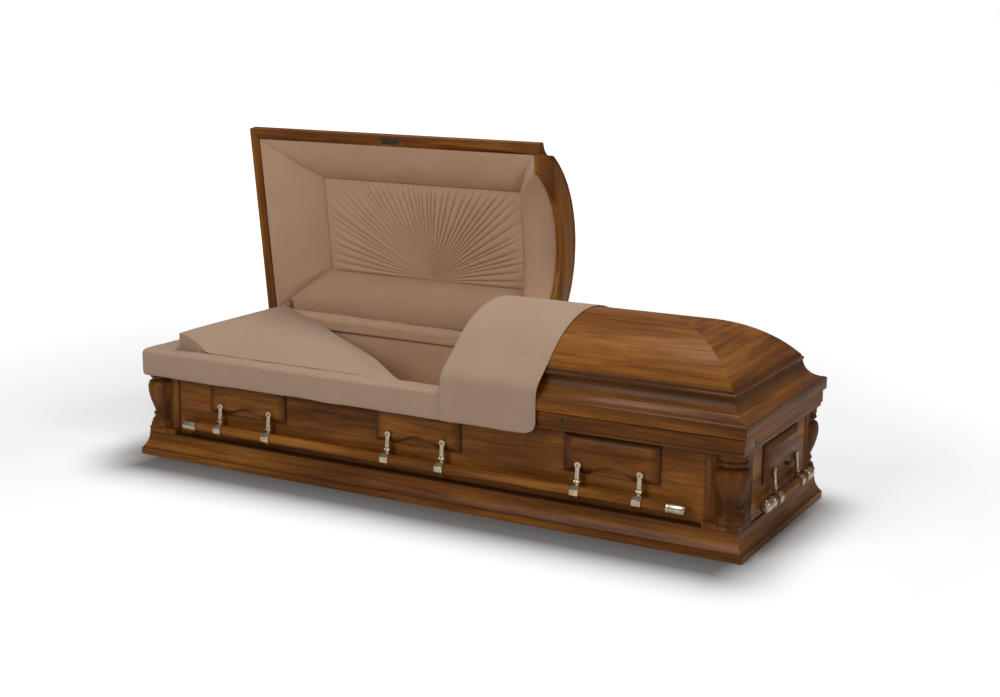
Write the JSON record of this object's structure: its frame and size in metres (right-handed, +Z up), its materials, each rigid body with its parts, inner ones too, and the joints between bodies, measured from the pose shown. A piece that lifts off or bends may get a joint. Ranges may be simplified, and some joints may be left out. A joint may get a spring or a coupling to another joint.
{
  "type": "wooden coffin",
  "caption": "Half-couch wooden coffin with mitred mouldings, carved corner urns, raised panels, swing bars, hinged domed lids and a pleated cloth interior.",
  "frame": {"origin": "centre of the underside, on the floor", "axes": "+X along the coffin towards the foot end, +Y towards the hinged side, +Z up"},
  "size_m": [2.18, 0.9147, 1.0576],
  "materials": {
    "stained_wood": "satin streaky honey to umber stain",
    "handle_metal": "polished pale brass",
    "dark_metal": "dark bronze",
    "crepe_cloth": "matt rosy-beige crepe",
    "lining_cloth": "matt rosy-beige crepe, shirred"
  },
  "bodies": {
    "root": {"bottom_board": "stained_wood", "base_front": "stained_wood", "base_rear": "stained_wood", "base_head": "stained_wood", "base_foot": "stained_wood", "side_front": "stained_wood", "side_rear": "stained_wood", "end_head": "stained_wood", "end_foot": "stained_wood", "post_front_head": "stained_wood", "post_front_foot": "stained_wood", "post_rear_head": "stained_wood", "post_rear_foot": "stained_wood", "rail_front": "stained_wood", "rail_rear": "stained_wood", "rail_head": "stained_wood", "rail_foot": "stained_wood", "panel_front_head": "stained_wood", "panel_front_middle": "stained_wood", "panel_front_foot": "stained_wood", "panel_rear_head": "stained_wood", "panel_rear_middle": "stained_wood", "panel_rear_foot": "stained_wood", "panel_head": "stained_wood", "panel_foot": "stained_wood", "ears_front": "handle_metal", "ears_rear": "handle_metal", "ears_head": "handle_metal", "ears_foot": "handle_metal", "rail_catch": "dark_metal", "end_lock": "dark_metal", "hinges_body": "handle_metal", "body_lining": "lining_cloth", "mattress": "crepe_cloth", "pillow": "crepe_cloth", "extendover": "crepe_cloth", "rear_roll": "crepe_cloth", "support_boot": "crepe_cloth"},
    "head_lid": {"hinges_head_lid": "handle_metal", "head_lid_frame": "stained_wood", "head_lid_header": "stained_wood", "head_lid_crown": "stained_wood", "head_lid_rolls": "crepe_cloth", "head_lid_sunburst": "lining_cloth", "latch_plate": "dark_metal"},
    "foot_lid": {"hinges_foot_lid": "handle_metal", "foot_lid_frame": "stained_wood", "foot_lid_header": "stained_wood", "foot_lid_crown": "stained_wood", "foot_lid_lining": "crepe_cloth", "throw": "crepe_cloth"},
    "bar_front": {"rod_front": "stained_wood", "fittings_front": "handle_metal"},
    "bar_rear": {"rod_rear": "stained_wood", "fittings_rear": "handle_metal"},
    "bar_head": {"rod_head": "stained_wood", "fittings_head": "handle_metal"},
    "bar_foot": {"rod_foot": "stained_wood", "fittings_foot": "handle_metal"}
  },
  "joints": [
    {"name": "head_lid_hinge", "type": "hinge", "parent": "root", "child": "head_lid", "pos_m": [0, 0.3575, 0.3485], "axis": [1, 0, 0], "range_deg": [0, 82.5], "deforming": ["pillow", "extendover", "rear_roll", "support_boot"]},
    {"name": "foot_lid_hinge", "type": "hinge", "parent": "root", "child": "foot_lid", "pos_m": [0, 0.3575, 0.3485], "axis": [-1, 0, 0], "range_deg": [0, 82.5]},
    {"name": "bar_front_swing", "type": "hinge", "parent": "root", "child": "bar_front", "pos_m": [0, -0.329, 0.1495], "axis": [-1, 0, 0], "range_deg": [0, 90]},
    {"name": "bar_rear_swing", "type": "hinge", "parent": "root", "child": "bar_rear", "pos_m": [0, 0.329, 0.1495], "axis": [1, 0, 0], "range_deg": [0, 90]},
    {"name": "bar_head_swing", "type": "hinge", "parent": "root", "child": "bar_head", "pos_m": [-1.0645, 0, 0.1495], "axis": [0, 1, 0], "range_deg": [0, 90]},
    {"name": "bar_foot_swing", "type": "hinge", "parent": "root", "child": "bar_foot", "pos_m": [1.0645, 0, 0.1495], "axis": [0, -1, 0], "range_deg": [0, 90]}
  ]
}
